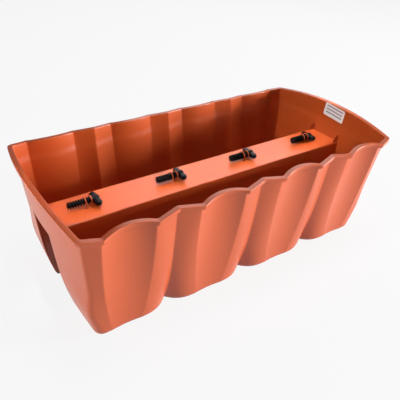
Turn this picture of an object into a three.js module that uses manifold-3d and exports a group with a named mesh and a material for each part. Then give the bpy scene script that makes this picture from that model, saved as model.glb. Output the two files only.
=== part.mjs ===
// A railing window box: one fluted plastic shell with a raised tunnel for the rail,
// four thumb screws stowed in hoops on top of the tunnel, and a paper label inside one end.
// Millimetres, +Z up. X runs along the box, the front wall is on -Y, the floor is z = 0.

import * as THREE from 'three';
import { mergeVertices } from 'three/addons/utils/BufferGeometryUtils.js';
import Module from 'manifold-3d';

// ---- Shell, seen from above ----
const innerLength = 562.5; // between the rim's inner corners
const rimHalfWidth = 142.1; // centre line to the crest of a flute at the rim
const fluteCount = 4;
const cornerStrip = 24.35; // from the last flute to the corner, along the wall
const rimFluteChord = 77;
const baseFluteChord = 46.6;
const rimFluteSag = 12.8; // how far a flute hollows in towards the soil
const baseFluteSag = 1.4;
const rimValleyDepth = 10.5; // how far the wall draws in between two flutes
const lowValleyDepth = 6.5; // what that fades to at the floor, before the pinch
const baseValleyDepth = 21.5; // with the pinch
const rimCornerInset = 8.2; // how far the last strip draws in at a corner
const rimCornerRound = 2;
const baseCornerRound = 14;
const endBow = 12.2; // how far an end wall bulges at the rim
const baseEndBow = 4.8;

// ---- Shell, seen from the side ----
const rimHeight = 196.5;
const archRise = 13.4; // the end rims rise to this above the long rims
const longWallDraft = 0.118; // inwards for each millimetre down
const endWallDraft = 0.068;
const endCurveDepth = 95; // below this depth the end walls curve under
const endCurveRadius = 490;
const bowFadeStart = 95;
const bowFadeEnd = 155;
const wall = 2.4;
const floorThickness = 2.6;
const baseRound = 8; // on the outside

// ---- Lip ----
const lipWidth = 8;
const lipDepth = 6.5;
const lipThickness = 2;
const lipRound = 0.6;
const ledgeDepth = 18;
const ledgeStep = 0.8; // the inner face steps out by this above the ledge

// ---- Rail tunnel ----
const tunnelHeight = 140.3;
const tunnelTopHalf = 32.4;
const tunnelBaseHalf = 40.2;
const roofThickness = 5;
const ridgeRound = 2;

// ---- Holes that the photograph doesn't show ----
const drainDiameter = 9;
const drainOffset = 68; // from the centre line
const clampHoleDiameter = 10.8;
const clampHoleHeight = 85;
const holeSides = 12;

// ---- Gussets at the ends of the ridge ----
const gussetThickness = 2;
const gussetOffset = 32; // from the centre line
const gussetFoot = 11.5;
const gussetShoulder = 9;
const gussetWallHeight = 15;
const gussetShoulderHeight = 12;

// ---- Thumb screws and their hoops ----
const screwCount = 4;
const screwEndMargin = 34.25; // from an inner corner to the row of screws, along X
const screwSetCentre = -2.4; // middle of the row of screws, along X
const screwLift = 8.4; // axis above the ridge
const threadRadius = 5.1;
const threadDepth = 1.3;
const threadPitch = 3.8;
const threadTurns = 7;
const shankLength = 38;
const tipChamfer = 1.2;
const hubRadius = 5.6;
const headLength = 12;
const wingReach = 17; // centre line to the tip of a wing
const wingThickness = 7;
const wingWaist = 4.4; // half of the wing's length along X where it meets the hub
const hoopThickness = 1.4;
const hoopWidth = 1.6;
const hoopAlong = [27.2, 36.2]; // middle of each hoop, from the tip of its screw
const runningGap = 0.3;

// ---- Label ----
const labelWidth = 50;
const labelHeight = 25;
const labelThickness = 0.3;
const labelOffset = -8; // centre from the box's centre line, along Y
const labelBelowRim = 2.6;
const labelTilt = -4; // degrees
const labelCorner = 2;

// ---- Fineness ----
const fluteSteps = 6;
const stripSteps = 2;
const endSteps = 8;
const cornerSteps = 2;
const hoopSteps = 8;
const screwSides = 10;
const wingSteps = 5;
const wallLevels = [0.23, 0.36, 0.5, 0.65, 0.775, 0.865, 0.925]; // shares of the height, downwards

const plastic = new THREE.MeshStandardMaterial({ color: 0xd4704c, roughness: 0.3, metalness: 0 });
const blackPlastic = new THREE.MeshStandardMaterial({ color: 0x151517, roughness: 0.35, metalness: 0 });
const paper = new THREE.MeshStandardMaterial({ color: 0xf1ebe4, roughness: 0.6, metalness: 0 });

const wasm = await Module();
wasm.setup();

const mix = THREE.MathUtils.lerp;
const flutePitch = (innerLength - rimFluteChord - 2 * cornerStrip) / (fluteCount - 1);
const screwLength = shankLength + headLength;
const screwPitch = (innerLength - 2 * screwEndMargin - screwLength) / (screwCount - 1);
const wallDepths = wallLevels.map((share) => share * rimHeight);
const archTop = rimHeight + archRise;
const ridgeTop = tunnelHeight + roofThickness;
const innerRound = baseRound - wall;
const screwAxis = ridgeTop + screwLift;

// ---------------------------------------------------------------- solids

function solidFrom(geometry) {
  const bare = geometry.clone();
  bare.deleteAttribute('normal');
  bare.deleteAttribute('uv');
  const merged = mergeVertices(bare, 1e-4);
  return new wasm.Manifold(new wasm.Mesh({
    numProp: 3,
    vertProperties: Float32Array.from(merged.attributes.position.array),
    triVerts: Uint32Array.from(merged.index.array),
  }));
}

function geometryFrom(solid) {
  const mesh = solid.getMesh();
  const geometry = new THREE.BufferGeometry();
  geometry.setAttribute('position', new THREE.BufferAttribute(mesh.vertProperties, 3));
  geometry.setIndex(new THREE.BufferAttribute(mesh.triVerts, 1));
  const flat = geometry.toNonIndexed();
  flat.computeVertexNormals();
  return flat;
}

// A closed skin over a stack of rings that all have the same number of points, with a flat cap
// on the first ring and on the last. A cap is a ladder of rungs between each point and the one
// that mirrors it across the centre line, where points 0 and count / 2 lie.
function skin(rings) {
  const count = rings[0].length;
  const positions = rings.flat().flatMap((p) => [p.x, p.y, p.z]);
  const index = [];
  for (let r = 0; r + 1 < rings.length; r += 1) {
    for (let i = 0; i < count; i += 1) {
      const a = r * count + i;
      const b = r * count + ((i + 1) % count);
      index.push(a, b, b + count, a, b + count, a + count);
    }
  }
  const cap = (start, flip) => {
    const face = (a, b, c) => index.push(start + a, start + (flip ? c : b), start + (flip ? b : c));
    face(0, 1, count - 1);
    for (let i = 1; i + 1 < count / 2; i += 1) {
      face(i, i + 1, count - i);
      face(i + 1, count - i - 1, count - i);
    }
    face(count / 2 - 1, count / 2, count / 2 + 1);
  };
  cap(0, true);
  cap((rings.length - 1) * count, false);
  const geometry = new THREE.BufferGeometry();
  geometry.setAttribute('position', new THREE.Float32BufferAttribute(positions, 3));
  geometry.setIndex(index);
  return geometry;
}

// An outline drawn in Y and Z, carried along X from one x to another.
function alongX(outline, fromX, toX) {
  const shape = new THREE.Shape(outline.map(([y, z]) => new THREE.Vector2(y, z)));
  const geometry = new THREE.ExtrudeGeometry(shape, { depth: toX - fromX, bevelEnabled: false });
  geometry.rotateX(Math.PI / 2);
  geometry.rotateZ(Math.PI / 2);
  return solidFrom(geometry.translate(fromX, 0, 0));
}

function rod(diameter, length, sides) {
  return new THREE.CylinderGeometry(diameter / 2, diameter / 2, length, sides);
}

// ---------------------------------------------------------------- shell

// How the plan changes with the depth below the long rims.
function planAt(depth) {
  const down = THREE.MathUtils.clamp(depth / rimHeight, 0, 1);
  return {
    half: rimHalfWidth - longWallDraft * depth,
    chordHalf: mix(rimFluteChord, baseFluteChord, down ** 2.6) / 2,
    sag: mix(rimFluteSag, baseFluteSag, down),
    valley: mix(rimValleyDepth, lowValleyDepth, down) + (baseValleyDepth - lowValleyDepth) * down ** 4.5,
    sharpness: mix(1, 3, down),
    inset: rimCornerInset * (1 - down ** 2),
    round: mix(rimCornerRound, baseCornerRound, down ** 2),
    bow: mix(endBow, baseEndBow, THREE.MathUtils.smoothstep(depth, bowFadeStart, bowFadeEnd)),
  };
}

// Middle of an end wall, by the real depth below the long rims.
function endMiddle(depth) {
  const under = Math.max(0, depth - endCurveDepth);
  const curl = endCurveRadius - Math.sqrt(endCurveRadius ** 2 - under ** 2);
  return innerLength / 2 + endBow - endWallDraft * (depth + archRise) - curl;
}

// One quarter of the plan at a depth, from the middle of the long wall to the middle of the end.
function quarterPlan(depth) {
  const plan = planAt(depth);
  const stripWidth = flutePitch / 2 - plan.chordHalf;
  const points = [];
  const strip = (valleyX, outward) => {
    for (let s = 0; s < stripSteps; s += 1) {
      const t = outward ? s / stripSteps : 1 - s / stripSteps;
      const drop = plan.valley * (1 - t) ** plan.sharpness;
      points.push([valleyX + (outward ? t : -t) * stripWidth, plan.half - drop]);
    }
  };
  for (let flute = 0; flute < fluteCount / 2; flute += 1) {
    const centre = (flute + 0.5) * flutePitch;
    strip(centre - flutePitch / 2, true);
    for (let s = 0; s < fluteSteps; s += 1) {
      const u = -1 + (2 * s) / fluteSteps;
      points.push([centre + u * plan.chordHalf, plan.half - plan.sag * (1 - u * u)]);
    }
    if (flute + 1 < fluteCount / 2) {
      strip(centre + flutePitch / 2, false);
    }
  }
  const lastCrest = ((fluteCount - 1) / 2) * flutePitch + plan.chordHalf;
  points.push([lastCrest, plan.half]);
  const cornerY = plan.half - plan.inset;
  const bowed = (y) => endMiddle(depth) - plan.bow * (y / cornerY) ** 2;
  const corner = new THREE.Vector2(bowed(cornerY), cornerY);
  const slope = plan.inset / (corner.x - lastCrest);
  const before = new THREE.Vector2(corner.x - plan.round, cornerY + slope * plan.round);
  const after = new THREE.Vector2(bowed(cornerY - plan.round), cornerY - plan.round);
  const bend = new THREE.QuadraticBezierCurve(before, corner, after);
  bend.getPoints(cornerSteps).forEach((p) => points.push([p.x, p.y]));
  for (let s = 1; s <= endSteps / 2; s += 1) {
    const y = after.y * (1 - s / (endSteps / 2));
    points.push([bowed(y), y]);
  }
  return points;
}

// The four quarters as one closed outline, anticlockwise from above.
function fullPlan(depth) {
  const quarter = quarterPlan(depth);
  const first = quarter.slice(0, -1).map(([x, y]) => [x, y]);
  const backRight = first.slice().reverse();
  const backLeft = first.slice(1).map(([x, y]) => [-x, y]);
  const end = quarter[quarter.length - 1];
  const frontLeft = first.slice().reverse().map(([x, y]) => [-x, -y]);
  const frontRight = first.slice(1).map(([x, y]) => [x, -y]);
  return [[end[0], 0], ...backRight, ...backLeft, [-end[0], 0], ...frontLeft, ...frontRight]
    .map(([x, y]) => new THREE.Vector2(x, y));
}

// Moves a closed outline outwards by a distance, square to its sides.
function offset(outline, distance) {
  return outline.map((p, i) => {
    const previous = outline[(i + outline.length - 1) % outline.length];
    const next = outline[(i + 1) % outline.length];
    const inward = p.clone().sub(previous).normalize();
    const outward = next.clone().sub(p).normalize();
    const a = new THREE.Vector2(inward.y, -inward.x);
    const b = new THREE.Vector2(outward.y, -outward.x);
    const normal = a.clone().add(b).normalize();
    return p.clone().addScaledVector(normal, distance / Math.max(0.5, normal.dot(a)));
  });
}

// How much of the end arch is left at a depth: all of it on the lip, none at the ledge.
function archShare(depth) {
  return 1 - THREE.MathUtils.clamp((depth - lipDepth) / (ledgeDepth - lipDepth), 0, 1);
}

function ring(depth, outwards) {
  const base = fullPlan(depth);
  const endY = planAt(depth).half - planAt(depth).inset;
  return offset(base, outwards).map((p, i) => {
    const across = Math.min(1, Math.abs(base[i].y) / endY);
    const onEnd = Math.abs(base[i].x) > innerLength / 2 - rimCornerRound - wall;
    const arch = onEnd && depth <= ledgeDepth ? archRise * (1 - across ** 2) : 0;
    return new THREE.Vector3(p.x, p.y, rimHeight - depth + arch * archShare(depth));
  });
}

// Outer face of the wall, measured out from the plan: nothing at the floor, most at the lip.
function outerFace(depth) {
  return (wall - ledgeStep) * (1 - depth / rimHeight);
}

function outerRings() {
  return [
    ring(rimHeight, -baseRound),
    ring(rimHeight - 0.13 * baseRound, -0.5 * baseRound),
    ring(rimHeight - 0.5 * baseRound, -0.13 * baseRound),
    ring(rimHeight - baseRound, 0),
    ...wallDepths.slice().reverse().map((depth) => ring(depth, outerFace(depth))),
    ring(ledgeDepth, outerFace(ledgeDepth)),
  ];
}

function shell() {
  const innerFloor = rimHeight - floorThickness;
  return solidFrom(skin([
    ...outerRings(),
    ring(lipThickness, outerFace(0)),
    ring(lipThickness, lipWidth - lipThickness),
    ring(lipDepth, lipWidth - lipThickness),
    ring(lipDepth, lipWidth),
    ring(lipRound, lipWidth),
    ring(0, lipWidth - lipRound),
    ring(0, lipRound),
    ring(lipRound, 0),
    ring(ledgeDepth, 0),
    ring(ledgeDepth + ledgeStep, -ledgeStep),
    ...wallDepths.map((depth) => ring(depth, outerFace(depth) - wall)),
    ring(innerFloor - innerRound, -wall),
    ring(innerFloor - 0.5 * innerRound, -wall - 0.13 * innerRound),
    ring(innerFloor - 0.13 * innerRound, -wall - 0.5 * innerRound),
    ring(innerFloor, -wall - innerRound),
  ]));
}

function ridge() {
  const taper = (tunnelBaseHalf - tunnelTopHalf) / tunnelHeight;
  const halfAt = (z) => tunnelBaseHalf + wall - taper * z;
  const side = [[halfAt(0), 0], [halfAt(ridgeTop - ridgeRound), ridgeTop - ridgeRound]];
  const topHalf = halfAt(ridgeTop);
  side.push([topHalf - 0.3 * ridgeRound, ridgeTop - 0.3 * ridgeRound]);
  side.push([topHalf - ridgeRound, ridgeTop]);
  const mirrored = side.slice().reverse().map(([y, z]) => [-y, z]);
  return alongX([...side, ...mirrored], -innerLength, innerLength);
}

function tunnel() {
  const taper = (tunnelBaseHalf - tunnelTopHalf) / tunnelHeight;
  const below = 10;
  const low = tunnelBaseHalf + taper * below;
  const outline = [[low, -below], [tunnelTopHalf, tunnelHeight]];
  const mirrored = [[-tunnelTopHalf, tunnelHeight], [-low, -below]];
  return alongX([...outline, ...mirrored], -innerLength, innerLength);
}

// A small rib in each corner between the ridge and an end wall.
function gusset(sideX, sideY) {
  const reach = endMiddle(rimHeight - ridgeTop);
  const foot = ridgeTop - ridgeRound;
  const shape = new THREE.Shape([
    new THREE.Vector2(reach + wall, foot),
    new THREE.Vector2(reach + wall, ridgeTop + gussetWallHeight),
    new THREE.Vector2(reach - wall, ridgeTop + gussetWallHeight),
    new THREE.Vector2(reach - wall - gussetShoulder, ridgeTop + gussetShoulderHeight),
    new THREE.Vector2(reach - wall - gussetFoot, foot),
  ]);
  const geometry = new THREE.ExtrudeGeometry(shape, { depth: gussetThickness, bevelEnabled: false });
  geometry.rotateX(Math.PI / 2);
  geometry.translate(0, gussetThickness / 2 + sideY * gussetOffset, 0);
  if (sideX < 0) {
    geometry.rotateZ(Math.PI);
    geometry.translate(0, 2 * sideY * gussetOffset, 0);
  }
  return solidFrom(geometry);
}

// A hoop: two legs on the ridge and a half ring over the shank.
function hoop(x) {
  const inner = threadRadius + runningGap;
  const outer = inner + hoopThickness;
  const arc = (radius, from, to) => Array.from({ length: hoopSteps + 1 }, (_, i) => {
    const angle = mix(from, to, i / hoopSteps);
    return [radius * Math.cos(angle), screwAxis + radius * Math.sin(angle)];
  });
  const foot = ridgeTop - 0.5 * ridgeRound;
  const outline = [
    [outer, foot], ...arc(outer, 0, Math.PI), [-outer, foot],
    [-inner, foot], ...arc(inner, Math.PI, 0), [inner, foot],
  ];
  return alongX(outline, x - hoopWidth / 2, x + hoopWidth / 2);
}

function planterBox() {
  const outside = solidFrom(skin(outerRings()));
  let solid = shell().add(ridge().intersect(outside));
  for (const sideX of [-1, 1]) {
    for (const sideY of [-1, 1]) {
      solid = solid.add(gusset(sideX, sideY).intersect(outside));
    }
  }
  for (const tipX of screwTips()) {
    for (const along of hoopAlong) {
      solid = solid.add(hoop(tipX + along));
    }
  }
  solid = solid.subtract(tunnel());
  for (let flute = 0; flute < fluteCount; flute += 1) {
    for (const sideY of [-1, 1]) {
      const hole = rod(drainDiameter, 4 * floorThickness, holeSides).rotateX(Math.PI / 2);
      const x = (flute - (fluteCount - 1) / 2) * flutePitch;
      solid = solid.subtract(solidFrom(hole.translate(x, sideY * drainOffset, floorThickness / 2)));
    }
  }
  for (const sideX of [-1, 1]) {
    const hole = rod(clampHoleDiameter, 2 * (tunnelBaseHalf + 4 * wall), holeSides);
    solid = solid.subtract(solidFrom(hole.translate(sideX * flutePitch, 0, clampHoleHeight)));
  }
  return geometryFrom(solid);
}

// ---------------------------------------------------------------- thumb screws

function screwTips() {
  return Array.from({ length: screwCount }, (_, i) => (
    screwSetCentre + (i - (screwCount - 1) / 2) * screwPitch - screwLength / 2
  ));
}

// Tip at the origin, head towards +X.
function thumbScrew() {
  const root = threadRadius - threadDepth;
  const profile = [[0, 0], [root - tipChamfer, 0], [root, tipChamfer]];
  for (let turn = 0; turn < threadTurns; turn += 1) {
    const x = tipChamfer + turn * threadPitch;
    profile.push([threadRadius, x + 0.5 * threadPitch], [root, x + threadPitch]);
  }
  profile.push([threadRadius, tipChamfer + (threadTurns + 0.5) * threadPitch]);
  profile.push([threadRadius, shankLength + runningGap], [hubRadius, shankLength + runningGap]);
  const end = screwLength;
  profile.push([hubRadius, end - 0.25 * hubRadius], [0.75 * hubRadius, end], [0, end]);
  const points = profile.map(([radius, x]) => new THREE.Vector2(radius, x));
  const body = new THREE.LatheGeometry(points, screwSides);
  body.rotateZ(-Math.PI / 2);
  return geometryFrom(solidFrom(body).add(wings()));
}

// Two round lobes with a waist at the hub, flat in the XY plane.
function wings() {
  const lobe = headLength / 2;
  const middle = shankLength + headLength / 2;
  const lobeY = wingReach - lobe;
  const shape = new THREE.Shape();
  shape.moveTo(middle - wingWaist, 0);
  shape.lineTo(middle - wingWaist, -hubRadius);
  shape.absarc(middle, -lobeY, lobe - runningGap, 0.8 * Math.PI, 2.2 * Math.PI, false);
  shape.lineTo(middle + wingWaist, -hubRadius);
  shape.lineTo(middle + wingWaist, hubRadius);
  shape.absarc(middle, lobeY, lobe - runningGap, -0.2 * Math.PI, 1.2 * Math.PI, false);
  shape.lineTo(middle - wingWaist, hubRadius);
  const bevel = 0.8;
  const geometry = new THREE.ExtrudeGeometry(shape, {
    depth: wingThickness - 2 * bevel,
    curveSegments: wingSteps,
    bevelThickness: bevel,
    bevelSize: bevel,
    bevelOffset: -bevel,
    bevelSegments: 1,
  });
  return solidFrom(geometry.translate(0, 0, bevel - wingThickness / 2));
}

// ---------------------------------------------------------------- label

// Inner face of the end wall above the ledge, at a place across and a height.
function endFaceAt(y, z) {
  const top = rimHeight + archRise * (1 - (y / planAt(0).half) ** 2);
  const depth = ((top - z) / (top - (rimHeight - ledgeDepth))) * ledgeDepth;
  const plan = planAt(depth);
  return endMiddle(depth) - plan.bow * (y / (plan.half - plan.inset)) ** 2;
}

function wallLabel() {
  const columns = 6;
  const rows = 2;
  const tilt = THREE.MathUtils.degToRad(labelTilt);
  const middleZ = archTop - labelBelowRim - labelHeight / 2;
  const place = (u, v, back) => {
    const y = labelOffset - u * Math.cos(tilt) + v * Math.sin(tilt);
    const z = middleZ + v * Math.cos(tilt) + u * Math.sin(tilt);
    return [endFaceAt(y, z) - runningGap - (back ? 0 : labelThickness), y, z];
  };
  const positions = [];
  const index = [];
  for (const back of [false, true]) {
    for (let r = 0; r <= rows; r += 1) {
      for (let c = 0; c <= columns; c += 1) {
        const inCorner = (r === 0 || r === rows) && (c === 0 || c === columns);
        const shrink = inCorner ? labelCorner * 0.3 : 0;
        const u = (c / columns - 0.5) * (labelWidth - 2 * shrink);
        const v = (r / rows - 0.5) * (labelHeight - 2 * shrink);
        positions.push(...place(u, v, back));
      }
    }
  }
  const stride = columns + 1;
  const layer = stride * (rows + 1);
  const at = (r, c, back) => (back ? layer : 0) + r * stride + c;
  for (let r = 0; r < rows; r += 1) {
    for (let c = 0; c < columns; c += 1) {
      const q = (b) => [at(r, c, b), at(r, c + 1, b), at(r + 1, c + 1, b), at(r + 1, c, b)];
      const [a, b, d, e] = q(false);
      index.push(a, b, d, a, d, e);
      const [f, g, h, k] = q(true);
      index.push(f, h, g, f, k, h);
    }
  }
  const edge = [];
  for (let c = 0; c < columns; c += 1) edge.push([0, c]);
  for (let r = 0; r < rows; r += 1) edge.push([r, columns]);
  for (let c = columns; c > 0; c -= 1) edge.push([rows, c]);
  for (let r = rows; r > 0; r -= 1) edge.push([r, 0]);
  edge.forEach(([r, c], i) => {
    const [r2, c2] = edge[(i + 1) % edge.length];
    const a = at(r, c, false);
    const b = at(r2, c2, false);
    index.push(a, b + layer, b, a, a + layer, b + layer);
  });
  const geometry = new THREE.BufferGeometry();
  geometry.setAttribute('position', new THREE.Float32BufferAttribute(positions, 3));
  geometry.setIndex(index);
  return geometry;
}

// ---------------------------------------------------------------- assembly

function named(name, geometry, material) {
  const mesh = new THREE.Mesh(geometry, material);
  mesh.name = name;
  return mesh;
}

const planter = new THREE.Group();
planter.add(named('planter_box', planterBox(), plastic));
screwTips().forEach((tipX, i) => {
  const screw = named(`thumb_screw_${i + 1}`, thumbScrew(), blackPlastic);
  screw.position.set(tipX, 0, screwAxis);
  planter.add(screw);
});
planter.add(named('wall_label', wallLabel(), paper));

export default planter;
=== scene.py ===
import math

import bpy
import numpy as np
from mathutils import Matrix, Vector


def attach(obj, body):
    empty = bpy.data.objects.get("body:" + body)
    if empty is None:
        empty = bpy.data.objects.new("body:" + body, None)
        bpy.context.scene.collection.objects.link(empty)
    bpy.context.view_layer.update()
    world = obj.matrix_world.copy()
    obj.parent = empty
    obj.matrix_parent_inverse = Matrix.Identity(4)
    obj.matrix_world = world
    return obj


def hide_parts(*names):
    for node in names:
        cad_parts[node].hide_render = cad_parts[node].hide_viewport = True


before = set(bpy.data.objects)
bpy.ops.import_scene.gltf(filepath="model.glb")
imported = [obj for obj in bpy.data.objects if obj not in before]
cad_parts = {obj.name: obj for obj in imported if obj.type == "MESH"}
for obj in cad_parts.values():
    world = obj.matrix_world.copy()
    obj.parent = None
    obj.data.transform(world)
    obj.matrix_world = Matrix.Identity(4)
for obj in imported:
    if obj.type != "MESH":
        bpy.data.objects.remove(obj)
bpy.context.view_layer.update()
print("frame loaded")

mm = 0.001  # sizes below are in millimetres


# small tools

def toLinear(hexCode):
    # sRGB hex to linear red, green, blue, alpha
    parts = np.array([int(hexCode[i:i + 2], 16) for i in (1, 3, 5)]) / 255
    linear = np.where(parts <= 0.04045, parts / 12.92, ((parts + 0.055) / 1.055) ** 2.4)
    return (*linear.tolist(), 1.0)


def meshPiece(name, points, faces, sharpAngle=32):
    # one object from an array of points in millimetres and a list of faces
    mesh = bpy.data.meshes.new(name)
    mesh.from_pydata((np.asarray(points) * mm).tolist(), [], faces)
    mesh.validate()
    piece = bpy.data.objects.new(name, mesh)
    bpy.context.scene.collection.objects.link(piece)
    softShade(piece, sharpAngle)
    return piece


def softShade(piece, sharpAngle=32):
    piece.data.shade_smooth()
    piece.data.set_sharp_from_angle(angle=math.radians(sharpAngle))


def tubeFaces(rows, columns, capEnds=True):
    # quads between rings of points that close round, with one flat face on each end
    index = np.arange(rows * columns).reshape(rows, columns)
    here, beside = index[:-1], np.roll(index[:-1], -1, axis=1)
    above, aboveBeside = index[1:], np.roll(index[1:], -1, axis=1)
    faces = np.stack([here, beside, aboveBeside, above], axis=-1).reshape(-1, 4).tolist()
    if capEnds:
        faces += [index[0][::-1].tolist(), index[-1].tolist()]
    return faces


def ladderFaces(columns, start, upwards):
    # a flat cap for an outline that mirrors across y = 0: rungs join each point to its mirror point
    half = columns // 2
    rung = np.arange(1, half - 1)
    quads = np.stack([rung, rung + 1, columns - rung - 1, columns - rung], axis=-1) + start
    ends = np.array([[0, 1, columns - 1], [half - 1, half, half + 1]]) + start
    faces = quads.tolist() + ends.tolist()
    return faces if upwards else [face[::-1] for face in faces]


def joinMeshes(name, parts):
    # several closed point-and-face sets as one object
    points, faces, start = [], [], 0
    for somePoints, someFaces in parts:
        points.append(np.asarray(somePoints))
        faces += [[start + i for i in face] for face in someFaces]
        start += len(somePoints)
    return meshPiece(name, np.concatenate(points), faces)


def combine(piece, other, operation):
    # one mesh from two, by a solid join or cut
    change = piece.modifiers.new(operation.lower(), "BOOLEAN")
    change.operation = operation
    change.solver = "MANIFOLD"
    change.object = other
    graph = bpy.context.evaluated_depsgraph_get()
    result = bpy.data.meshes.new_from_object(piece.evaluated_get(graph))
    piece.modifiers.clear()
    piece.data = result
    bpy.data.objects.remove(other)
    return piece


def outwardNormals(outline):
    # for closed outlines of shape (..., points, 2), anticlockwise: the mitre at each point, which
    # moves both of its sides out by one and is never longer than the limit
    mitreLimit = 2
    before = outline - np.roll(outline, 1, axis=-2)
    after = np.roll(outline, -1, axis=-2) - outline
    before = before / np.linalg.norm(before, axis=-1, keepdims=True)
    after = after / np.linalg.norm(after, axis=-1, keepdims=True)
    a = np.stack([before[..., 1], -before[..., 0]], axis=-1)
    b = np.stack([after[..., 1], -after[..., 0]], axis=-1)
    middle = a + b
    middle = middle / np.linalg.norm(middle, axis=-1, keepdims=True)
    return middle / np.maximum(1 / mitreLimit, (middle * a).sum(-1, keepdims=True))


def arcAngles(steps, start=0.0, end=90.0):
    # angles along an arc in radians, a quarter turn unless start and end say otherwise
    return np.radians(np.linspace(start, end, steps + 1))


# planter shell

planter = dict(
    innerLength=562.5, rimHalfWidth=142.1, rimHeight=196.5, archRise=13.4,
    fluteCount=4, cornerStrip=24.35, rimFluteChord=77, baseFluteChord=46.6,
    rimFluteSag=9.6, baseFluteSag=1.4,
    rimValleyDepth=8.8, lowValleyDepth=6.5, baseValleyDepth=21.5,
    rimRise=0.35, rimCornerInset=6.6, rimCornerRound=2, baseCornerRound=14,
    endBow=12.2, baseEndBow=4.8, bowFadeStart=95, bowFadeEnd=155,
    longWallDraft=0.118, endWallDraft=0.068, endCurveDepth=95, endCurveRadius=490,
    wall=2.4, floorThickness=2.6, baseRound=8,
    lipWidth=8, lipDepth=6.5, lipThickness=2, lipOuterRound=0.7, lipInnerRound=0.5, lipFillet=0.6,
    ledgeDepth=18, ledgeBlend=14, ledgeStep=0.8, arrisRound=1.2, floorCapInset=0.4,
    chordPower=2.6, valleyPower=4.5, rimStripPower=1, baseStripPower=3,
    fluteSteps=22, stripSteps=9, crestSteps=5, cornerSteps=8, endSteps=34,
    wallRings=44, roundSteps=6, skirtSteps=8, innerLipSteps=5, ledgeSteps=8,
)

tunnel = dict(
    height=140.3, topHalf=32.4, baseHalf=40.2, roofThickness=5,
    ridgeRound=2, ridgeSideGap=0.3, crownInset=0.4, ridgeSides=12, ridgeSteps=8,
    mouthRound=0.9, cornerRound=1.5, voidBelow=10, voidBeyond=20, voidSides=24, voidSteps=5,
    drainDiameter=9, drainOffset=68, drainCutLength=12, drainCutHeight=1,
    clampHoleDiameter=10.8, clampHoleHeight=85, clampCutLength=100,
    gussetThickness=2, gussetOffset=32, gussetFoot=11.5, gussetShoulder=9, gussetWallHeight=15,
    gussetShoulderHeight=12, gussetRound=3, gussetEdge=0.4, gussetFootInWall=0.6, gussetTopInWall=1.9,
    gussetSteps=5, gussetEdgeSteps=3,
)

ridgeTop = tunnel["height"] + tunnel["roofThickness"]
fluteRun = planter["innerLength"] - planter["rimFluteChord"] - 2 * planter["cornerStrip"]
flutePitch = fluteRun / (planter["fluteCount"] - 1)


def blendTo(a, b, share):
    return a + (b - a) * share


def outerFace(depth):
    # how far the outer face stands out from the plan: nothing at the floor, most at the lip
    return (planter["wall"] - planter["ledgeStep"]) * (1 - depth / planter["rimHeight"])


def endMiddle(depth):
    # x of an end wall's middle: a straight draft, then a circle that curves under near the floor
    under = np.maximum(0, depth - planter["endCurveDepth"])
    curl = planter["endCurveRadius"] - np.sqrt(planter["endCurveRadius"] ** 2 - under ** 2)
    lean = planter["endWallDraft"] * (depth + planter["archRise"])
    return planter["innerLength"] / 2 + planter["endBow"] - lean - curl


def planAt(depth):
    # every measure of the plan at a depth below the long rims
    p = planter
    down = np.clip(depth / p["rimHeight"], 0, 1)
    fade = np.clip((depth - p["bowFadeStart"]) / (p["bowFadeEnd"] - p["bowFadeStart"]), 0, 1)
    half = p["rimHalfWidth"] - p["longWallDraft"] * depth
    inset = p["rimCornerInset"] * (1 - down ** 2)
    return dict(
        half=half, cornerY=half - inset, inset=inset,
        chordHalf=blendTo(p["rimFluteChord"], p["baseFluteChord"], down ** p["chordPower"]) / 2,
        sag=blendTo(p["rimFluteSag"], p["baseFluteSag"], down),
        valley=blendTo(p["rimValleyDepth"], p["lowValleyDepth"], down)
        + (p["baseValleyDepth"] - p["lowValleyDepth"]) * down ** p["valleyPower"],
        stripPower=blendTo(p["rimStripPower"], p["baseStripPower"], down),
        round=blendTo(p["rimCornerRound"], p["baseCornerRound"], down ** 2),
        bow=blendTo(p["endBow"], p["baseEndBow"], fade * fade * (3 - 2 * fade)),
    )


def endFace(depth, y):
    # x of the plan's end at a place across: the middle less a parabola
    plan = planAt(depth)
    return endMiddle(depth) - plan["bow"] * (y / plan["cornerY"]) ** 2


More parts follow.
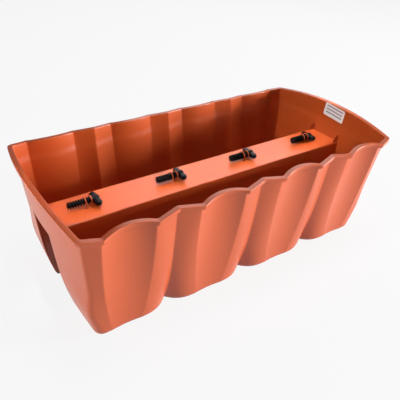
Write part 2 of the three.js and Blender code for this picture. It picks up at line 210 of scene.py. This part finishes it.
def quarterPlan(depth):
    # x and y, shape (rings, points), from the long wall's middle to the end wall's middle:
    # strips fall to the valleys as a power of the distance, flutes are parabolas, ends are parabolas
    p, plan = planter, planAt(depth)
    width = flutePitch / 2 - plan["chordHalf"]
    xs, ys, arris = [], [], []

    def strip(valleyX, t, outward):
        xs.append(valleyX + (t if outward else -t) * width)
        ys.append(plan["half"] - plan["valley"] * (1 - t) ** plan["stripPower"])
        arris.append(len(xs) - 1)

    away = np.linspace(0, 1, p["stripSteps"], endpoint=False)[None, :]
    u = np.linspace(-1, 1, p["fluteSteps"], endpoint=False)[None, :]
    for flute in range(p["fluteCount"] // 2):
        centre = (flute + 0.5) * flutePitch
        strip(centre - flutePitch / 2, away, True)
        xs.append(centre + u * plan["chordHalf"])
        ys.append(plan["half"] - plan["sag"] * (1 - u * u))
        arris.append(len(xs) - 1)
        if flute + 1 < p["fluteCount"] // 2:
            strip(centre + flutePitch / 2, 1 - away, False)
    crest = centre + plan["chordHalf"]
    cornerX = endFace(depth, plan["cornerY"])
    slope = plan["inset"] / (cornerX - crest)
    beforeX, beforeY = cornerX - plan["round"], plan["cornerY"] + slope * plan["round"]
    afterY = plan["cornerY"] - plan["round"]
    afterX = endFace(depth, afterY)
    along = np.linspace(0, 1, p["crestSteps"], endpoint=False)[None, :]
    xs.append(blendTo(crest, beforeX, along))
    ys.append(blendTo(plan["half"], beforeY, along))
    arris.append(len(xs) - 1)
    bend = np.linspace(0, 1, p["cornerSteps"], endpoint=False)[None, :]
    a, b, c = (1 - bend) ** 2, 2 * bend * (1 - bend), bend ** 2
    xs.append(a * beforeX + b * cornerX + c * afterX)
    ys.append(a * beforeY + b * plan["cornerY"] + c * afterY)
    across = np.linspace(1, 0, p["endSteps"] // 2 + 1)[None, :]
    ys.append(afterY * across)
    xs.append(endFace(depth, ys[-1]))
    starts = np.cumsum([0] + [x.shape[1] for x in xs])
    sharp = np.zeros(starts[-1], bool)
    sharp[starts[arris]] = True
    rows = depth.shape[0]
    x = np.concatenate([np.broadcast_to(part, (rows, part.shape[1])) for part in xs], axis=1)
    y = np.concatenate([np.broadcast_to(part, (rows, part.shape[1])) for part in ys], axis=1)
    return x, y, sharp


def fullPlan(depth):
    # the quarter mirrored to a closed outline, anticlockwise from the right end's middle
    x, y, sharp = quarterPlan(depth)
    endX, endY = x[:, -1:], 0 * y[:, -1:]
    x, y, sharp = x[:, :-1], y[:, :-1], sharp[:-1]
    fx, fy = x[:, ::-1], y[:, ::-1]
    side = np.concatenate([[False], sharp[::-1], sharp[1:]])
    allX = np.concatenate([endX, fx, -x[:, 1:], -endX, -fx, x[:, 1:]], axis=1)
    allY = np.concatenate([endY, fy, y[:, 1:], endY, -fy, -y[:, 1:]], axis=1)
    return np.stack([allX, allY], axis=-1), np.flatnonzero(np.concatenate([side, side]))


def roundArrises(points, columns, reach, steps=3):
    # each sharp column becomes a quadratic curve, from a point just before it to one just after it
    share = np.linspace(0, 1, steps + 1)[None, :, None]
    count = points.shape[1]
    kept, start = [], 0
    for column in columns:
        corner = points[:, column][:, None]
        before = points[:, column - 1][:, None] - corner
        after = points[:, (column + 1) % count][:, None] - corner
        first = corner + before * reach / np.linalg.norm(before, axis=-1, keepdims=True)
        last = corner + after * reach / np.linalg.norm(after, axis=-1, keepdims=True)
        kept.append(points[:, start:column])
        kept.append((1 - share) ** 2 * first + 2 * share * (1 - share) * corner + share ** 2 * last)
        start = column + 1
    return np.concatenate(kept + [points[:, start:]], axis=1)


def shellPath():
    # the wall's section as depth and offset: under the floor, up the outside, round the lip and
    # down the inside, where a smooth step makes the ledge
    p = planter
    deep = p["rimHeight"]
    turn = arcAngles(p["roundSteps"])
    half = arcAngles(p["skirtSteps"], 0, 180)
    r, lip, skirt, fillet = p["baseRound"], p["lipThickness"], p["lipThickness"] / 2, p["lipFillet"]
    within = r - p["wall"]
    top, inner = p["lipOuterRound"], p["lipInnerRound"]
    outside = np.linspace(deep - r, lip + fillet, p["wallRings"])[1:-1]
    step = np.linspace(0, 1, p["ledgeSteps"] + 1)[1:]
    ledge = p["ledgeDepth"] + step * p["ledgeBlend"]
    inside = np.linspace(ledge[-1], deep - p["floorThickness"] - within, p["wallRings"])[1:-1]
    innerLip = np.linspace(inner, p["ledgeDepth"], p["innerLipSteps"] + 1)[1:]
    face = outerFace(0)
    depthOffset = [
        (np.array([deep]), np.array([-r - p["floorCapInset"]])),
        (deep - r + r * np.cos(turn), -r + r * np.sin(turn)),
        (outside, outerFace(outside)),
        (lip + fillet - fillet * np.sin(turn), face + fillet - fillet * np.cos(turn)),
        (lip + fillet - fillet * np.cos(turn), p["lipWidth"] - lip - fillet + fillet * np.sin(turn)),
        (p["lipDepth"] - skirt + skirt * np.sin(half), p["lipWidth"] - skirt - skirt * np.cos(half)),
        (top - top * np.sin(turn), p["lipWidth"] - top + top * np.cos(turn)),
        (inner - inner * np.cos(turn), inner - inner * np.sin(turn)),
        (innerLip, 0 * innerLip),
        (ledge, (outerFace(ledge) - p["wall"]) * step ** 2 * (3 - 2 * step)),
        (inside, outerFace(inside) - p["wall"]),
        (deep - p["floorThickness"] - within + within * np.sin(turn), -r + within * np.cos(turn)),
        (np.array([deep - p["floorThickness"]]), np.array([-r - p["floorCapInset"]])),
    ]
    depth = np.concatenate([pair[0] for pair in depthOffset])[:, None]
    offset = np.concatenate([pair[1] for pair in depthOffset])[:, None]
    return depth, offset


def makeShell():
    p = planter
    depth, offset = shellPath()
    plan, arrises = fullPlan(depth)
    moved = plan + outwardNormals(plan) * offset[..., None]
    # the rim rises where the long walls draw in, and as a parabola over each end wall
    measures = planAt(depth)
    across = np.minimum(1, np.abs(plan[..., 1]) / measures["cornerY"])
    drawnIn = measures["half"] - np.abs(plan[..., 1])
    onEnd = np.abs(plan[..., 0]) > p["innerLength"] / 2 - p["rimCornerRound"] - p["wall"]
    cornerRise = p["rimRise"] * np.minimum(measures["inset"], drawnIn)
    arch = cornerRise + (p["archRise"] - p["rimRise"] * measures["inset"]) * (1 - across ** 2)
    share = 1 - np.clip((depth - p["lipDepth"]) / (p["ledgeDepth"] - p["lipDepth"]), 0, 1)
    z = p["rimHeight"] - depth + np.where(onEnd, arch, p["rimRise"] * drawnIn) * share
    points = np.concatenate([moved, z[..., None]], axis=-1)
    points = roundArrises(points, arrises, p["arrisRound"])
    rows, columns = points.shape[:2]
    faces = tubeFaces(rows, columns, capEnds=False)
    faces += ladderFaces(columns, 0, False) + ladderFaces(columns, (rows - 1) * columns, True)
    return meshPiece("planterShell", points.reshape(-1, 3), faces)


def ridgeHalf(z):
    # the tunnel's outer half width at a height
    taper = (tunnel["baseHalf"] - tunnel["topHalf"]) / tunnel["height"]
    return tunnel["baseHalf"] + planter["wall"] - taper * z


def makeRidge():
    # a profile across, carried along x and ended inside the end walls' thickness
    t, r = tunnel, tunnel["ridgeRound"]
    turn = arcAngles(t["ridgeSteps"])
    foot = planter["floorThickness"] / 2
    top = ridgeHalf(ridgeTop)
    sideZ = np.linspace(foot, ridgeTop - r - t["ridgeSideGap"], t["ridgeSides"])
    right = np.concatenate([
        np.stack([ridgeHalf(sideZ), sideZ], axis=1),
        np.stack([top - r + r * np.cos(turn), ridgeTop - r + r * np.sin(turn)], axis=1),
        [[top - r - t["crownInset"], ridgeTop]],
    ])
    profile = np.concatenate([right, right[::-1] * [-1, 1]])
    y, z = profile[:, 0], profile[:, 1]
    depth = planter["rimHeight"] - z
    reach = endFace(depth, y) + outerFace(depth) - planter["wall"] / 2
    stations = np.array([-1, 0, 1])[:, None]
    points = np.stack(np.broadcast_arrays(stations * reach, y[None, :], z[None, :]), axis=-1)
    return meshPiece("ridge", points.reshape(-1, 3), tubeFaces(len(stations), len(y)))


def makeTunnelVoid():
    # the tunnel's section, flared at each mouth by a quarter circle so that the edge is rounded
    t, r, corner = tunnel, tunnel["mouthRound"], tunnel["cornerRound"]
    taper = (t["baseHalf"] - t["topHalf"]) / t["height"]
    turn = arcAngles(t["voidSteps"])
    sideZ = np.linspace(-t["voidBelow"], t["height"] - corner, t["voidSides"])
    cornerY = t["topHalf"] - corner + corner * np.cos(turn)
    cornerZ = t["height"] - corner + corner * np.sin(turn)
    right = np.concatenate([
        np.stack([t["baseHalf"] - taper * sideZ, sideZ], axis=1),
        np.stack([cornerY, cornerZ], axis=1)[1:],
    ])
    profile = np.concatenate([right, right[::-1] * [-1, 1]])
    normal = outwardNormals(profile)
    grow = np.concatenate([[r], r - r * np.sin(turn)])
    back = np.concatenate([[t["voidBeyond"]], -r + r * np.cos(turn)])
    grow = np.concatenate([grow, grow[::-1]])[:, None, None]
    ring = profile[None] + normal[None] * grow
    depth = np.clip(planter["rimHeight"] - ring[..., 1], 0, planter["rimHeight"])
    reach = endFace(depth, ring[..., 0]) + outerFace(depth)
    side = np.concatenate([-np.ones(len(back)), np.ones(len(back))])[:, None]
    x = side * (reach + np.concatenate([back, back[::-1]])[:, None])
    points = np.concatenate([x[..., None], ring], axis=-1)
    return meshPiece("tunnelVoid", points.reshape(-1, 3), tubeFaces(*x.shape))


def roundedPlate(outline, thickness, edge, steps):
    # a flat outline given thickness, with quarter-round edges: its rings in the plane, and how far
    # each stands from the plane
    swing = arcAngles(steps)
    shrink = edge - edge * np.sin(swing)
    height = thickness / 2 - edge + edge * np.cos(swing)
    inset = np.concatenate([shrink, shrink[::-1]])
    ring = outline[None] - outwardNormals(outline)[None] * inset[:, None, None]
    across = np.concatenate([-height, height[::-1]])
    return ring, np.broadcast_to(across[:, None], ring.shape[:2])


def gussetPlates():
    # the small ribs between the ridge and the end walls, made at the right end and mirrored
    t = tunnel
    reach = float(endMiddle(np.array(planter["rimHeight"] - ridgeTop)))
    foot, shoulder = ridgeTop - t["ridgeRound"], ridgeTop + t["gussetShoulderHeight"]
    back = reach - planter["wall"]
    turn, r = arcAngles(t["gussetSteps"]), t["gussetRound"]
    cornerX = back - t["gussetShoulder"] + r - r * np.sin(turn)
    cornerZ = shoulder - r + r * np.cos(turn)
    outline = np.concatenate([
        [[back - t["gussetFoot"], foot],
         [reach - t["gussetFootInWall"], foot],
         [reach - t["gussetTopInWall"], ridgeTop + t["gussetWallHeight"]]],
        np.stack([cornerX, cornerZ], axis=1),
    ])
    ring, y = roundedPlate(outline, t["gussetThickness"], t["gussetEdge"], t["gussetEdgeSteps"])
    points = np.stack([ring[..., 0], y, ring[..., 1]], axis=-1).reshape(-1, 3)
    faces = [face[::-1] for face in tubeFaces(*y.shape)]
    parts = []
    for sideY in (-1, 1):
        shift = [0, sideY * t["gussetOffset"], 0]
        parts.append((points + shift, faces))
        parts.append((points * [-1, 1, 1] + shift, [face[::-1] for face in faces]))
    return parts


# thumb screws

screws = dict(
    count=4, endMargin=34.25, setCentre=-2.4, lift=8.4,
    shankLength=38, shankRings=240, sides=48, tipChamfer=1.4, tipShare=0.02,
    threadRadius=6, threadDepth=2.8, threadPitch=4, flankHeight=1.6, flankSlope=5.2,
    runOut=2, runOutMargin=1.5,
    hubRadius=6.2, headLength=12, domeLength=2.2, domeFall=0.75, collarLength=0.8, collarRound=0.7,
    hubRings=16, hubLead=0.6, shoulderStep=0.01,
    wingReach=17, wingThickness=8.4, wingWaist=4.4, wingEdgeShare=0.42, wingSides=160, wingEdgeSteps=6,
    hoopThickness=1.4, hoopWidth=1.6, hoopAlong=(27.2, 36.2), hoopSquareness=0.6, hoopFoot=1, gap=0.3,
    hoopBendSteps=20, hoopLegSteps=4, hoopSides=12,
)

screwLength = screws["shankLength"] + screws["headLength"]
screwPitch = (planter["innerLength"] - 2 * screws["endMargin"] - screwLength) / (screws["count"] - 1)
screwAxis = ridgeTop + screws["lift"]
screwMiddles = (np.arange(screws["count"]) - (screws["count"] - 1) / 2) * screwPitch
screwTips = screws["setCentre"] + screwMiddles - screwLength / 2


def hoopTubes():
    # a rounded strip carried up one leg, over the shank as a half circle and down the other leg
    s = screws
    middle = s["threadRadius"] + s["gap"] + s["hoopThickness"] / 2
    bend = arcAngles(s["hoopBendSteps"], 0, 180)
    legZ = np.linspace(ridgeTop - s["hoopFoot"], screwAxis, s["hoopLegSteps"] + 1)[:-1]
    leg = np.ones(len(legZ))
    outY = np.concatenate([leg, np.cos(bend), -leg])
    outZ = np.concatenate([0 * leg, np.sin(bend), 0 * leg])
    y = middle * outY
    z = np.concatenate([legZ, screwAxis + middle * np.sin(bend), legZ[::-1]])
    around = np.linspace(0, 2 * math.pi, s["hoopSides"], endpoint=False)
    c, r = np.cos(around), np.sin(around)
    wide = np.sign(c) * np.abs(c) ** s["hoopSquareness"] * s["hoopWidth"] / 2
    thick = np.sign(r) * np.abs(r) ** s["hoopSquareness"] * s["hoopThickness"] / 2
    tubeY = y[:, None] + thick[None, :] * outY[:, None]
    tubeZ = z[:, None] + thick[None, :] * outZ[:, None]
    points = np.stack([np.broadcast_to(wide, tubeY.shape), tubeY, tubeZ], axis=-1).reshape(-1, 3)
    faces = tubeFaces(len(y), len(around))
    return [(points + [tip + along, 0, 0], faces) for tip in screwTips for along in s["hoopAlong"]]


def makeScrewBody():
    # a helical thread on a round shank, then the hub: radius as a function of length and turn
    s = screws
    hubStart = s["shankLength"] + s["gap"]
    x = np.concatenate([
        [0], np.linspace(0, hubStart, s["shankRings"]),
        [hubStart + s["shoulderStep"]],
        np.linspace(s["shankLength"] + s["hubLead"], screwLength, s["hubRings"]),
    ])[:, None]
    angle = np.linspace(0, 2 * math.pi, s["sides"], endpoint=False)[None, :]
    # a flank rises and falls in a straight line on each side of its crest and is cut off flat
    phase = (x / s["threadPitch"] - angle / (2 * math.pi)) % 1
    flank = np.clip(s["flankHeight"] - s["flankSlope"] * np.abs(phase - 0.5), 0, 1)
    fadeIn = np.clip(x / s["tipChamfer"], 0, 1)
    fadeOut = np.clip((s["shankLength"] - s["runOutMargin"] - x) / s["runOut"], 0, 1)
    thread = s["threadRadius"] - s["threadDepth"] * (1 - flank * fadeIn * fadeOut)
    thread = thread - s["tipChamfer"] * (1 - fadeIn)
    # the hub has a rounded collar at its start and a dome at its end
    domeShare = np.clip((x - screwLength + s["domeLength"]) / s["domeLength"], 0, 1)
    hub = s["hubRadius"] * np.sqrt(1 - s["domeFall"] * domeShare ** 2)
    collar = np.clip((x - hubStart) / s["collarLength"], 0, 1)
    hub = hub - s["collarRound"] * (1 - np.sqrt(1 - (1 - collar) ** 2))
    radius = np.where(x > hubStart, hub, thread)
    radius[0] = radius[0] * s["tipShare"]
    y, z = radius * np.cos(angle), radius * np.sin(angle)
    points = np.stack(np.broadcast_arrays(x, y, z), axis=-1).reshape(-1, 3)
    return meshPiece("screwBody", points, tubeFaces(*radius.shape))


def makeWings():
    # two round lobes with a waist between them, as a closed outline with round edges
    s = screws
    lobe = s["headLength"] / 2 - s["gap"]
    middleX = s["shankLength"] + s["headLength"] / 2 + s["gap"] / 2
    lobeY = s["wingReach"] - lobe
    t = np.linspace(0, 1, s["wingSides"], endpoint=False)
    y = -s["wingReach"] * np.cos(2 * math.pi * t)
    beyond = np.clip((np.abs(y) - lobeY) / lobe, 0, 1)
    dip = np.clip(1 - np.abs(y) / lobeY, 0, 1)
    lobeX = lobe * np.sqrt(1 - beyond ** 2)
    waistX = lobe - (lobe - s["wingWaist"]) * np.sin(math.pi * dip / 2) ** 2
    x = np.where(t < 0.5, 1, -1) * np.where(np.abs(y) > lobeY, lobeX, waistX)
    edge = s["wingThickness"] * s["wingEdgeShare"]
    ring, z = roundedPlate(np.stack([x, y], axis=1), s["wingThickness"], edge, s["wingEdgeSteps"])
    points = np.stack([ring[..., 0] + middleX, ring[..., 1], z], axis=-1)
    return meshPiece("wings", points.reshape(-1, 3), tubeFaces(*z.shape))


def makeScrews():
    # one screw, copied with its place added to its points
    first = combine(makeScrewBody(), makeWings(), "UNION")
    co = np.empty(len(first.data.vertices) * 3)
    first.data.vertices.foreach_get("co", co)
    shared = co.reshape(-1, 3)
    made = []
    for number, tip in enumerate(screwTips, start=1):
        piece = bpy.data.objects.new(f"thumbScrew{number}", first.data.copy())
        bpy.context.scene.collection.objects.link(piece)
        place = shared + np.array([tip, 0, screwAxis]) * mm
        piece.data.vertices.foreach_set("co", place.ravel())
        softShade(piece, sharpAngle=40)
        made.append(piece)
    bpy.data.objects.remove(first)
    return made


# holes

def rodPoints(diameter, length, axis, centre, sides=40):
    # a plain cylinder along one axis
    angle = np.linspace(0, 2 * math.pi, sides, endpoint=False)
    along = np.array([-length / 2, length / 2])[:, None]
    a, b = diameter / 2 * np.cos(angle)[None, :], diameter / 2 * np.sin(angle)[None, :]
    along, a, b = np.broadcast_arrays(along, a, b)
    order = {"y": (b, along, a), "z": (a, b, along)}[axis]
    return np.stack(order, axis=-1).reshape(-1, 3) + centre, tubeFaces(2, sides)


def makeHoles():
    # a drain hole under each flute, and two clamp holes through each side of the tunnel
    t = tunnel
    parts = []
    for flute in range(planter["fluteCount"]):
        x = (flute - (planter["fluteCount"] - 1) / 2) * flutePitch
        for sideY in (-1, 1):
            centre = [x, sideY * t["drainOffset"], t["drainCutHeight"]]
            parts.append(rodPoints(t["drainDiameter"], t["drainCutLength"], "z", centre))
    for sideX in (-1, 1):
        centre = [sideX * flutePitch, 0, t["clampHoleHeight"]]
        parts.append(rodPoints(t["clampHoleDiameter"], t["clampCutLength"], "y", centre))
    return joinMeshes("holes", parts)


# label

label = dict(
    width=50, height=25, thickness=0.25, offset=-8, belowRim=2.6, tilt=-4, standOff=0.1,
    cornerPower=14, rings=14, firstRing=0.02, sides=96, startAngle=1e-4,
)


def makeLabel():
    # a rounded rectangle filled by rings round its middle, laid on the end wall's inner face
    n = label
    t = np.linspace(0, 2 * math.pi, n["sides"], endpoint=False) + n["startAngle"]
    reachX, reachY = n["width"] / 2, n["height"] / 2
    c, s = np.cos(t), np.sin(t)
    # a superellipse of a high power has nearly square corners
    power = n["cornerPower"]
    edge = (np.abs(c / reachX) ** power + np.abs(s / reachY) ** power) ** (-1 / power)
    out = np.linspace(n["firstRing"], 1, n["rings"])
    shares = np.concatenate([out, out[::-1]])[:, None]
    lift = np.concatenate([np.full(n["rings"], n["thickness"]), np.zeros(n["rings"])])[:, None]
    u, v = shares * edge * c, shares * edge * s
    tilt = math.radians(n["tilt"])
    y = n["offset"] - u * math.cos(tilt) + v * math.sin(tilt)
    middleZ = planter["rimHeight"] + planter["archRise"] - n["belowRim"] - reachY
    z = middleZ + v * math.cos(tilt) + u * math.sin(tilt)
    top = planter["rimHeight"] + planter["archRise"] * (1 - (y / planter["rimHalfWidth"]) ** 2)
    floorZ = planter["rimHeight"] - planter["ledgeDepth"]
    depth = (top - z) / (top - floorZ) * planter["ledgeDepth"]
    x = endFace(depth, y) - n["standOff"] - lift
    points = np.stack([x, y, z], axis=-1).reshape(-1, 3)
    piece = meshPiece("wallLabel", points, tubeFaces(*x.shape), sharpAngle=50)
    layer = piece.data.uv_layers.new(name="labelFace")
    corner = np.empty(len(piece.data.loops), dtype=np.int32)
    piece.data.loops.foreach_get("vertex_index", corner)
    uv = np.stack([u.ravel() / n["width"] + 0.5, v.ravel() / n["height"] + 0.5], axis=1)
    layer.data.foreach_set("uv", uv[corner].ravel())
    return piece


# materials

def addNode(material, kind, links=(), **settings):
    # a node with its settings and links: a name that starts with "in_" sets an input by number or name
    node = material.node_tree.nodes.new(kind)
    for key, value in settings.items():
        if key.startswith("in_"):
            name = key[3:]
            node.inputs[int(name) if name.isdigit() else name.replace("_", " ")].default_value = value
        else:
            setattr(node, key, value)
    for source, target in links:
        material.node_tree.links.new(source, node.inputs[target])
    return node


def newMaterial(name):
    material = bpy.data.materials.new(name)
    material.use_nodes = True
    return material, material.node_tree.nodes["Principled BSDF"], material.node_tree.links


def mouldedPolypropylene():
    # injection-moulded polypropylene with a clay-red masterbatch: an even colour with faint flow
    # clouds, a soft gloss and a slow ripple that breaks up the reflections
    look = dict(colour="#C65626", cloudColour="#C05123", cloudSize=60, roughness=0.27, ior=1.5, shine=0.7,
                rippleSize=14, rippleDepth=0.05, rippleShare=0.25,
                grainSize=0.9, grainDepth=0.012, grainShare=0.3)
    material, shader, links = newMaterial("mouldedPolypropylene")
    place = addNode(material, "ShaderNodeTexCoord").outputs["Object"]
    clouds = addNode(material, "ShaderNodeTexNoise", [(place, "Vector")],
                     in_Scale=1 / (look["cloudSize"] * mm), in_Detail=3.0)
    tint = addNode(material, "ShaderNodeMix", [(clouds.outputs["Fac"], 0)], data_type="RGBA",
                   in_6=toLinear(look["colour"]), in_7=toLinear(look["cloudColour"]))
    links.new(tint.outputs[2], shader.inputs["Base Color"])
    ripple = addNode(material, "ShaderNodeTexNoise", [(place, "Vector")],
                     in_Scale=1 / (look["rippleSize"] * mm), in_Detail=1.0)
    grain = addNode(material, "ShaderNodeTexNoise", [(place, "Vector")],
                    in_Scale=1 / (look["grainSize"] * mm), in_Detail=2.0)
    wide = addNode(material, "ShaderNodeBump", [(ripple.outputs["Fac"], "Height")],
                   in_Strength=look["rippleShare"], in_Distance=look["rippleDepth"] * mm)
    fine = addNode(material, "ShaderNodeBump",
                   [(grain.outputs["Fac"], "Height"), (wide.outputs["Normal"], "Normal")],
                   in_Strength=look["grainShare"], in_Distance=look["grainDepth"] * mm)
    links.new(fine.outputs["Normal"], shader.inputs["Normal"])
    shader.inputs["Roughness"].default_value = look["roughness"]
    shader.inputs["IOR"].default_value = look["ior"]
    shader.inputs["Specular IOR Level"].default_value = look["shine"]
    return material


def blackNylon():
    # black moulded nylon: nearly black with a tight gloss that shows the thread's flanks
    look = dict(colour="#030303", roughness=0.2, ior=1.5, shine=0.22,
                grainSize=0.7, grainDepth=0.02, grainShare=0.4)
    material, shader, links = newMaterial("blackNylon")
    place = addNode(material, "ShaderNodeTexCoord").outputs["Object"]
    grain = addNode(material, "ShaderNodeTexNoise", [(place, "Vector")],
                    in_Scale=1 / (look["grainSize"] * mm), in_Detail=2.0)
    bump = addNode(material, "ShaderNodeBump", [(grain.outputs["Fac"], "Height")],
                   in_Strength=look["grainShare"], in_Distance=look["grainDepth"] * mm)
    links.new(bump.outputs["Normal"], shader.inputs["Normal"])
    shader.inputs["Base Color"].default_value = toLinear(look["colour"])
    shader.inputs["Roughness"].default_value = look["roughness"]
    shader.inputs["IOR"].default_value = look["ior"]
    shader.inputs["Specular IOR Level"].default_value = look["shine"]
    return material


def coatedPaper():
    # coated label paper: warm white with pale grey ruled bars in place of the print, no lettering
    look = dict(paper="#FAF6F3", ink="#A39EA1", bars=4, barShare=0.42, roughness=0.45, margin=0.1)
    material, shader, links = newMaterial("coatedPaper")
    face = addNode(material, "ShaderNodeUVMap", uv_map="labelFace").outputs["UV"]
    apart = addNode(material, "ShaderNodeSeparateXYZ", [(face, 0)])
    rows = addNode(material, "ShaderNodeMath", [(apart.outputs["Y"], 0)],
                   operation="MULTIPLY", in_1=float(look["bars"]))
    within = addNode(material, "ShaderNodeMath", [(rows.outputs[0], 0)], operation="FRACT")
    inked = addNode(material, "ShaderNodeMath", [(within.outputs[0], 0)],
                    operation="LESS_THAN", in_1=look["barShare"])
    # bars stop at a margin on all four sides
    sides = [("GREATER_THAN", look["margin"]), ("LESS_THAN", 1 - look["margin"])]
    for axis in ("X", "Y"):
        for operation, limit in sides:
            inside = addNode(material, "ShaderNodeMath", [(apart.outputs[axis], 0)],
                             operation=operation, in_1=limit)
            inked = addNode(material, "ShaderNodeMath", [(inked.outputs[0], 0), (inside.outputs[0], 1)],
                            operation="MULTIPLY")
    tint = addNode(material, "ShaderNodeMix", [(inked.outputs[0], 0)], data_type="RGBA",
                   in_6=toLinear(look["paper"]), in_7=toLinear(look["ink"]))
    links.new(tint.outputs[2], shader.inputs["Base Color"])
    shader.inputs["Roughness"].default_value = look["roughness"]
    return material


# pieces

shell = makeShell()
combine(shell, makeRidge(), "UNION")
combine(shell, joinMeshes("ribs", gussetPlates() + hoopTubes()), "UNION")
combine(shell, makeTunnelVoid(), "DIFFERENCE")
combine(shell, makeHoles(), "DIFFERENCE")
softShade(shell)
shell.data.materials.clear()
shell.data.materials.append(mouldedPolypropylene())
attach(shell, "box")
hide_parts("planter_box")
print("shell made:", len(shell.data.polygons), "faces")

nylon = blackNylon()
for number, screw in enumerate(makeScrews(), start=1):
    screw.data.materials.clear()
    screw.data.materials.append(nylon)
    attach(screw, f"screw_{number}")
    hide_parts(f"thumb_screw_{number}")
print("screws made")

sticker = makeLabel()
sticker.data.materials.append(coatedPaper())
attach(sticker, "box")
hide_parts("wall_label")
print("label made")


# stage, light and camera

stage = dict(
    floorSize=12000, floorDrop=0.1, floorColour="#D0D0D0", floorRoughness=0.9,
    floorGlow=0.88, glossyFloorGlow=0.55,
    worldStrength=0.04, backgroundStrength=1.0, glossyShare=0.15,
)

# places and sizes are in metres; a spread under 180 degrees stands for a grid on the lamp
middle, rightEnd = (0, 0, 0.1), (0.29, 0, 0.19)
lamps = [
    dict(name="keyFront", place=(1.98, -3.44, 0.66), size=(0.9, 0.9), watts=50, spread=180, target=middle),
    dict(name="keyRight", place=(3.44, -1.98, 0.66), size=(0.9, 0.9), watts=248, spread=180, target=middle),
    dict(name="rightLow", place=(1.88, 0, 0.78), size=(0.6, 0.6), watts=6, spread=180, target=middle),
    dict(name="rightHigh", place=(1.53, 0, 1.39), size=(0.6, 0.6), watts=3, spread=180, target=middle),
    dict(name="backPanel", place=(1.29, 1.54, 1.41), size=(1.6, 1.6), watts=12, spread=180, target=middle),
    dict(name="topDown", place=(0.1, 0.1, 2.1), size=(0.6, 0.6), watts=12, spread=180, target=middle),
    dict(name="ridgeStrip", place=(0, 0, 2.1), size=(0.6, 0.03), watts=0.27, spread=5, target=middle),
    dict(name="leftLow", place=(-1.98, 0.15, 0.12), size=(0.3, 0.18), watts=28, spread=180, target=middle),
    dict(name="labelSpot", place=(-1.7, 0.1, 1.1), size=(0.3, 0.3), watts=0.2, spread=14, target=rightEnd),
]


def makeFloor():
    half, z = stage["floorSize"] / 2, -stage["floorDrop"]
    corners = [[-half, -half, z], [half, -half, z], [half, half, z], [-half, half, z]]
    floor = meshPiece("floor", corners, [[0, 1, 2, 3]])
    material, shader, links = newMaterial("pressedCard")
    shader.inputs["Base Color"].default_value = toLinear(stage["floorColour"])
    shader.inputs["Roughness"].default_value = stage["floorRoughness"]
    # the camera sees mostly plain white, with part of the shadow kept, and reflections see about half
    path = addNode(material, "ShaderNodeLightPath")
    seen = addNode(material, "ShaderNodeMath", [(path.outputs["Is Camera Ray"], 0)],
                   operation="MULTIPLY", in_1=stage["floorGlow"])
    share = addNode(material, "ShaderNodeMath", [(path.outputs["Is Glossy Ray"], 0), (seen.outputs[0], 2)],
                    operation="MULTIPLY_ADD", in_1=stage["glossyFloorGlow"])
    glow = addNode(material, "ShaderNodeEmission")
    mixed = addNode(material, "ShaderNodeMixShader",
                    [(share.outputs[0], 0), (shader.outputs[0], 1), (glow.outputs[0], 2)])
    links.new(mixed.outputs[0], material.node_tree.nodes["Material Output"].inputs["Surface"])
    floor.data.materials.append(material)


def makeWorld():
    # faint even light, plain white where the camera sees it and grey where a reflection does
    world = bpy.data.worlds.new("studio")
    bpy.context.scene.world = world
    world.use_nodes = True
    world.node_tree.nodes.clear()
    path = addNode(world, "ShaderNodeLightPath")
    seen = addNode(world, "ShaderNodeMath",
                   [(path.outputs["Is Glossy Ray"], 0), (path.outputs["Is Camera Ray"], 2)],
                   operation="MULTIPLY_ADD", in_1=stage["glossyShare"])
    strength = addNode(world, "ShaderNodeMapRange", [(seen.outputs[0], "Value")],
                       in_To_Min=stage["worldStrength"], in_To_Max=stage["backgroundStrength"])
    background = addNode(world, "ShaderNodeBackground", [(strength.outputs["Result"], "Strength")],
                         in_Color=(1, 1, 1, 1))
    addNode(world, "ShaderNodeOutputWorld", [(background.outputs[0], "Surface")])


def aim(thing, target):
    direction = Vector(target) - thing.location
    thing.rotation_mode = "QUATERNION"
    thing.rotation_quaternion = direction.to_track_quat("-Z", "Y")


def makeLamps():
    for lamp in lamps:
        data = bpy.data.lights.new(lamp["name"], "AREA")
        data.energy = lamp["watts"]
        data.shape = "RECTANGLE"
        data.size, data.size_y = lamp["size"]
        data.spread = math.radians(lamp["spread"])
        thing = bpy.data.objects.new(lamp["name"], data)
        thing.location = lamp["place"]
        bpy.context.scene.collection.objects.link(thing)
        aim(thing, lamp["target"])


view = dict(
    place=(-0.41625, -0.5579, 0.5417), azimuth=-35.844, elevation=33.432, roll=3.214,
    focal=466, frameWidth=400, sensorWidth=36, nearest=0.01, farthest=50,
)


def makeCamera():
    # the photograph's viewpoint: right, up and back vectors from azimuth, elevation and roll
    a, e, r = (math.radians(view[k]) for k in ("azimuth", "elevation", "roll"))
    right = np.array([math.cos(a), math.sin(a), 0])
    back = np.array([math.sin(a) * math.cos(e), -math.cos(a) * math.cos(e), math.sin(e)])
    up = np.cross(back, right)
    turnedRight = right * math.cos(r) + up * math.sin(r)
    turnedUp = up * math.cos(r) - right * math.sin(r)
    data = bpy.data.cameras.new("camera")
    data.sensor_width = view["sensorWidth"]
    data.lens = view["focal"] / view["frameWidth"] * data.sensor_width
    data.clip_start = view["nearest"]
    data.clip_end = view["farthest"]
    camera = bpy.data.objects.new("camera", data)
    matrix = np.eye(4)
    matrix[:3] = np.stack([turnedRight, turnedUp, back, np.array(view["place"])], axis=1)
    camera.matrix_world = Matrix(matrix.tolist())
    bpy.context.scene.collection.objects.link(camera)
    bpy.context.scene.camera = camera


makeFloor()
makeWorld()
makeLamps()
makeCamera()
bpy.context.scene.view_settings.view_transform = "Standard"
print("stage, light and camera made")
